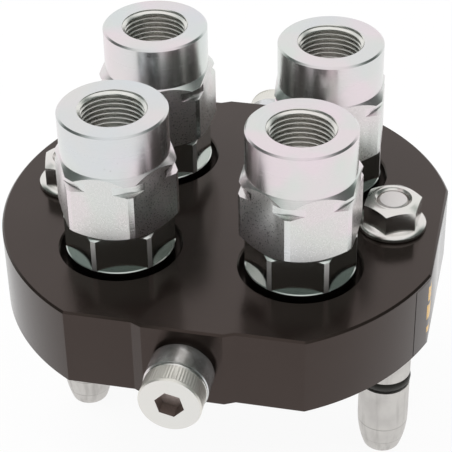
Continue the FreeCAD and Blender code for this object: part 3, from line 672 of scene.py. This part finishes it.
worn_steel = (0.27, 0.255, 0.24)
small_grey = (0.75, 0.735, 0.7)


def pin_nose():
    """The bullet nose: a long arc that leaves the pin's side smoothly, and a small round at the tip."""
    length = pin_nose_level - pin_tip_level
    taper = pin_radius - pin_tip_radius
    sweep = (length * length + taper * taper) / (2 * taper)
    middle = Vector((pin_radius - sweep, pin_nose_level))
    round_level = pin_tip_level + pin_tip_round
    across = math.sqrt((sweep - pin_tip_round) ** 2 - (round_level - middle.y) ** 2)
    round_middle = Vector((middle.x + across, round_level))
    meeting = math.atan2(round_middle.y - middle.y, round_middle.x - middle.x)
    down = -math.pi / 2
    points = []
    for step in range(nose_steps + 1):
        angle = down + (meeting - down) * step / nose_steps
        points.append(round_middle + Vector((math.cos(angle), math.sin(angle))) * pin_tip_round)
    for step in range(1, nose_steps + 1):
        angle = meeting * (1 - step / nose_steps)
        points.append(middle + Vector((math.cos(angle), math.sin(angle))) * sweep)
    return [tuple(point) for point in points]


def band(tree, value, middle, width):
    """One where the value lies within a band, and nought elsewhere."""
    inside = reckon(tree, "COMPARE", value, middle)
    inside.node.inputs[2].default_value = width / 2
    return inside


def ground_steel():
    """Ground steel with fine lines round it, faint streaks along it and two worn rings on its nose."""
    material, tree, shader, place = new_finish("ground_pin_steel")
    level = add_node(tree, "SeparateXYZ", None, Vector=place).outputs["Z"]
    upwards = add_node(tree, "CombineXYZ", None, X=0.0, Y=0.0, Z=level).outputs[0]
    lines = speckle(tree, upwards, 2600.0, 3.0, 0.7)
    cloud = speckle(tree, place, 160.0, 4.0)
    shade = vary(tree, cloud, 0.35, 0.65, pin_dark, pin_light)
    streaks = speckle(tree, reckon_place(tree, "MULTIPLY", place, (1, 1, 0.12)), 600.0)
    shade = mix_colour(tree, spread(tree, streaks, 0.5, 0.7, 0.0, 0.35), shade, worn_steel)
    rings = 0.0
    for ring_level in nose_rings:
        rings = reckon(tree, "ADD", rings, band(tree, level, ring_level * mm, nose_ring_width))
    rings = reckon(tree, "MULTIPLY", rings, spread(tree, cloud, 0.4, 0.6, 0.1, 0.6))
    feed(tree, shader.inputs["Base Color"], mix_colour(tree, rings, shade, worn_steel))
    feed(tree, shader.inputs["Metallic"], 0.85)
    rough = spread(tree, lines, 0.3, 0.7, 0.36, 0.46)
    rough = reckon(tree, "ADD", rough, spread(tree, cloud, 0.3, 0.7, -0.04, 0.04))
    feed(tree, shader.inputs["Roughness"], rough)
    raise_marks(tree, shader, lines, distance=0.006 * mm, strength=0.5)
    return material


small_zinc = zinc_plate("zinc_on_small_parts", roughness=0.2, grain_depth=0.05, stain=0.2, grey=small_grey)
stud_zinc = zinc_plate("zinc_on_studs", roughness=0.4, grain_depth=0.1, stain=0.3)
pin_outline = (
    (0, pin_tip_level), *pin_nose(), (pin_radius, groove_low), (groove_radius, groove_low),
    (groove_radius, groove_high), (pin_radius, groove_high), (pin_radius, -0.1), (6.35, 0.3), (6, 0.3),
    (6, stud_bottom), (4, stud_bottom), (4, 28.4), (3.4, 29.15), (3.3, 29.2), (0, 29.2),
)
pin = turn_up(pin_outline, slim_steps)
for material in (ground_steel(), stud_zinc):
    pin.data.materials.append(material)
for face in pin.data.polygons:
    face.material_index = int(face.center.z > stud_bottom * mm + near)

bpy.ops.object.select_all(action="DESELECT")
bpy.ops.mesh.primitive_torus_add(major_segments=slim_steps, minor_segments=ring_cord_steps,
                                 major_radius=ring_radius, minor_radius=ring_cord)
ring = put_in_place(bpy.context.object, (0, 0, (groove_low + groove_high) / 2 * mm))

nut = turn_up(hexagon_outline)
work_with(nut, hexagon_bar(nut_hexagon, -overshoot, bar_length), "INTERSECT")
work_with(nut, turn_up(flange_outline), "UNION")
work_with(nut, turn_up(nut_bore, slim_steps))
face_outwards(nut)
for side, pin, ring, nut in repeat(pins, pin, ring, nut):
    place = pins[side]
    put_in_place(pin, place)
    hand_over(pin, f"pin_{side}", "plate", f"guide_pin_{side}")
    put_in_place(ring, place)
    hand_over(ring, f"rubber_ring_{side}", "plate", f"pin_ring_{side}", black_rubber,
              smooth_to=40)
    put_in_place(nut, (place.x, place.y, plate_top), turn=nut_angles[side])
    hand_over(nut, f"nut_{side}", "plate", f"flange_nut_{side}", small_zinc)

# Cam screws and rollers: a shoulder screw with a low knurled head and a hexagon socket, and the roller that
# turns on its shoulder in the locking lever's slot. Both are zinc plated.
# Sizes for the screw's outline, in millimetres.
head_top = 13.75
knurl_radius = 7.53
knurl_low = 8.45
knurl_high = 12.95
knurl_teeth = 64
knurl_depth = 0.07 * mm
steps_per_tooth = 4
screw_outline = (
    (0, -16), (4.6, -16), (4.9, -15.7), (4.9, 0), (6, 0), (6, 7.85), (7.5, 7.85), (7.62, 7.97), (7.62, 8.2),
    (7.5, 8.35), (knurl_radius, knurl_low), (knurl_radius, knurl_high), (7.58, 13.05), (7.58, 13.3),
    (7.3, head_top), (0, head_top),
)
socket_width = 6.2 * mm
socket_floor = (head_top - 3.4) * mm
socket_angle = -14
# The faces of the head that look along the screw by less than this are its rim.
rim_lean = 0.9
roller_outline = (
    (6.05, 0.1), (6.8, 0.1), (6.8, 1.15), (7.6, 1.15), (7.85, 1.4), (7.85, 7.5), (7.6, 7.75), (6.05, 7.75),
)
punched_brown = (0.58, 0.5, 0.47)
knurl_grey = (0.8, 0.77, 0.7)
soft_metal = 0.92


def knurl(screw):
    """Presses straight teeth into the band round the head."""
    for corner in screw.data.vertices:
        if knurl_low * mm - hair < corner.co.z < knurl_high * mm + hair:
            turns = math.atan2(corner.co.y, corner.co.x) / (2 * math.pi)
            away = round(turns * knurl_teeth * steps_per_tooth) % steps_per_tooth
            share = min(away, steps_per_tooth - away) / (steps_per_tooth / 2)
            corner.co.xy = corner.co.xy * (1 - knurl_depth * share / corner.co.xy.length)


punched_steel = steel("punched_socket_steel", punched_brown, roughness=0.5)
knurled_zinc = zinc_plate("zinc_on_knurls", roughness=0.4, grain_depth=0.05, stain=0.3, grey=knurl_grey,
                          metal=soft_metal)
roller_zinc = zinc_plate("zinc_on_rollers", roughness=0.25, grain_depth=0.03, stain=0.8, mottle=0.75,
                         relief=0.1, metal=soft_metal)
screw = turn_up(screw_outline, knurl_teeth * steps_per_tooth)
knurl(screw)
socket = hexagon_bar(socket_width, socket_floor, bar_length)
work_with(screw, put_in_place(socket, (0, 0, 0), turn=socket_angle))
for material in (small_zinc, punched_steel, knurled_zinc):
    screw.data.materials.append(material)
for face in screw.data.polygons:
    corners = [screw.data.vertices[index].co for index in face.vertices]
    in_socket = all(corner.xy.length < socket_width / math.sqrt(3) + hair for corner in corners)
    in_socket = in_socket and all(corner.z > socket_floor - hair for corner in corners)
    on_rim = face.center.z > knurl_low * mm and face.normal.z < rim_lean
    face.material_index = 1 if in_socket else 2 if on_rim else 0
roller = turn_up(roller_outline)
for side, screw, roller in repeat(cam_facings, screw, roller):
    put_on_pad(screw, side)
    hand_over(screw, f"screw_{side}", "plate", f"cam_screw_{side}")
    put_on_pad(roller, side)
    hand_over(roller, f"roller_{side}", f"roller_{side}", f"cam_roller_{side}", roller_zinc)

# Label: a thin black foil wrapped over the plate's right flat and round both of its corners. It is bare, with
# plain amber bars near the front corner.
foil_reach = math.radians(25.8)
foil_proud = 0.04 * mm
foil_sunk = 0.03 * mm
foil_low = 1.0 * mm
foil_high = 20.4 * mm
foil_steps = 6
# Painted shade: a dark band at the cut ends, for the shade of the foil's edge wall.
# It starts this far from the plate's middle and has a soft edge.
foil_shade_start = 24.6 * mm
foil_shade_softness = 0.06 * mm
# Amber bars: from and to along the plate's depth, and their lower and upper levels, in millimetres.
foil_bars = ((-19.2, -16.2, 14.0, 18.2), (-19.5, -15.8, 8.4, 12.8), (-19.2, -16.8, 4.2, 6.0))
foil_black = (0.022, 0.018, 0.017)
foil_shade_black = (0.01, 0.008, 0.007)
# The near-black of the cut ends is painted shade from the foil's edge wall.
foil_amber = (0.8, 0.46, 0.07)
foil_cast = (1.0, 0.82, 0.76)


def foil_side(proud):
    """The foil's plan at a distance from the plate's wall, from its front end to its back end."""
    corner = math.acos((plate_side + proud) / (plate_radius + proud))
    angles = [corner + (foil_reach - corner) * step / foil_steps for step in range(foil_steps + 1)]
    ends = [Vector((math.cos(angle), math.sin(angle), 0)) * (plate_radius + proud) for angle in angles]
    front = [Vector((end.x, -end.y, foil_low)) for end in reversed(ends)]
    return front + [Vector((end.x, end.y, foil_low)) for end in ends]


def black_foil():
    """Glossy black foil, its printed bars a little worn, with painted shade as a dark line at its cut ends.
    """
    material, tree, shader, place = new_finish("black_label_foil")
    parts = add_node(tree, "SeparateXYZ", None, Vector=place).outputs
    bars = 0.0
    for start, end, low, high in foil_bars:
        across = band(tree, parts["Y"], (start + end) / 2 * mm, (end - start) * mm)
        upward = band(tree, parts["Z"], (low + high) / 2 * mm, (high - low) * mm)
        bars = reckon(tree, "ADD", bars, reckon(tree, "MULTIPLY", across, upward))
    worn = spread(tree, speckle(tree, place, 900.0), 0.3, 0.5, 0.55, 1.0)
    tint = mix_colour(tree, reckon(tree, "MULTIPLY", bars, worn), foil_black, foil_amber)
    # Painted shade: a dark, rough band at both cut ends stands in for the shade of the foil's edge wall.
    out = reckon(tree, "ABSOLUTE", parts["Y"])
    ends = spread(tree, out, foil_shade_start, foil_shade_start + foil_shade_softness, 0.0, 1.0)
    feed(tree, shader.inputs["Base Color"], mix_colour(tree, ends, tint, foil_shade_black))
    feed(tree, shader.inputs["Roughness"], spread(tree, ends, 0.0, 1.0, 0.12, 0.6))
    feed(tree, shader.inputs["Specular IOR Level"], spread(tree, ends, 0.0, 1.0, 0.55, 0.15))
    feed(tree, shader.inputs["Specular Tint"], foil_cast)
    return material


foil = draw_line([*foil_side(foil_proud), *reversed(foil_side(-foil_sunk))], closed=True)
bpy.ops.object.mode_set(mode="EDIT")
bpy.ops.mesh.select_all(action="SELECT")
bpy.ops.mesh.edge_face_add()
bpy.ops.mesh.extrude_region_move(TRANSFORM_OT_translate={"value": (0, 0, foil_high - foil_low)})
bpy.ops.object.mode_set(mode="OBJECT")
face_outwards(foil)
hand_over(foil, "label", "plate", material=black_foil())

# Floor, light and camera: a white sheet under the pins' tips, a white room and two large soft lamps. The
# camera stands a little to the right of the front and looks down on the ports.
floor_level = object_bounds()[0].z
floor_radius = 6.0
floor_steps = 96
floor_white = (0.96, 0.96, 0.96)
# The share of plain white in what the camera and a mirror see of the floor. The rest shows the shadow.
floor_glow = 0.92
# Bright metal mirrors a room that is white above and behind and dark, a little green, on the other sides.
# Both edges are cosines: from the middle of the bright wall, and from straight up.
bright_side = (-0.225, 0.974, 0)
wall_edge = (0.3, 0.6)
ceiling_edge = (0.66, 0.8)
dark_share = 0.87
dark_cast = (0.85, 1.0, 0.93)
white = (1.0, 1.0, 1.0)
# The strength of the white room as plain light on the object.
room_light = 0.6
lamp_size = 0.8
camera_turn = math.radians(13.06)
camera_rise = math.radians(35.88)
camera_roll = math.radians(-1.2)
camera_distance = 0.42025
camera_aim = Vector((0.00112, -0.00691, 0.0205))

bpy.ops.object.select_all(action="DESELECT")
bpy.ops.mesh.primitive_circle_add(
    vertices=floor_steps, radius=floor_radius, fill_type="NGON", location=(0, 0, floor_level))
floor = bpy.context.object
floor.name = "floor"
white_sheet, tree, shader, _ = new_finish("white_sheet")
feed(tree, shader.inputs["Base Color"], floor_white)
feed(tree, shader.inputs["Roughness"], 1.0)
feed(tree, shader.inputs["Specular IOR Level"], 0.0)
glow = add_node(tree, "Emission", None, Color=white, Strength=1.0)
rays = add_node(tree, "LightPath").outputs
seen = reckon(tree, "MAXIMUM", rays["Is Camera Ray"], rays["Is Glossy Ray"])
blend = add_node(tree, "MixShader")
feed(tree, blend.inputs[0], reckon(tree, "MULTIPLY", seen, floor_glow))
feed(tree, blend.inputs[1], shader.outputs[0])
feed(tree, blend.inputs[2], glow.outputs[0])
feed(tree, tree.nodes["Material Output"].inputs["Surface"], blend.outputs[0])
floor.data.materials.append(white_sheet)

world = bpy.data.worlds.new("white_room")
bpy.context.scene.world = world
world.use_nodes = True
tree = world.node_tree
background = tree.nodes["Background"]
rays = add_node(tree, "LightPath").outputs
seen = reckon(tree, "MAXIMUM", rays["Is Camera Ray"], rays["Is Glossy Ray"])
direction = add_node(tree, "TexCoord").outputs["Generated"]
towards = reckon_place(tree, "DOT_PRODUCT", direction, bright_side)
rise = add_node(tree, "SeparateXYZ", None, Vector=direction).outputs["Z"]
dark = reckon(tree, "MULTIPLY", spread(tree, towards, *wall_edge, 1.0, 0.0),
              spread(tree, rise, *ceiling_edge, 1.0, 0.0))
dimmed = reckon(tree, "MULTIPLY", reckon(tree, "MULTIPLY", dark, rays["Is Glossy Ray"]), dark_share)
feed(tree, background.inputs["Color"], mix_colour(tree, dimmed, white, dark_cast))
strength = reckon(tree, "SUBTRACT", spread(tree, seen, 0.0, 1.0, room_light, 1.0), dimmed)
feed(tree, background.inputs["Strength"], strength)


def soft_lamp(name, place, watts):
    """A square lamp turned to the object, which metal doesn't mirror."""
    bpy.ops.object.light_add(type="AREA", location=place)
    lamp = bpy.context.object
    lamp.name = name
    lamp.data.shape = "SQUARE"
    lamp.data.size = lamp_size
    lamp.data.energy = watts
    lamp.rotation_mode = "QUATERNION"
    lamp.rotation_quaternion = (-Vector(place)).to_track_quat("-Z", "Y")
    lamp.visible_glossy = False


soft_lamp("left_lamp", (-0.45, -0.15, 0.95), watts=5.5)
soft_lamp("right_lamp", (0.5, -0.05, 0.9), watts=3.0)

bpy.ops.object.camera_add()
camera = bpy.context.object
towards_camera = Vector((
    math.sin(camera_turn) * math.cos(camera_rise),
    -math.cos(camera_turn) * math.cos(camera_rise),
    math.sin(camera_rise),
))
camera.location = camera_aim + towards_camera * camera_distance
camera.rotation_mode = "QUATERNION"
level_view = (-towards_camera).to_track_quat("-Z", "Y")
camera.rotation_quaternion = level_view @ Matrix.Rotation(camera_roll, 3, "Z").to_quaternion()
camera.data.sensor_width = 36.0
camera.data.lens = 133.27
camera.data.clip_start = 0.01
bpy.context.scene.camera = camera
bpy.context.scene.view_settings.view_transform = "Standard"
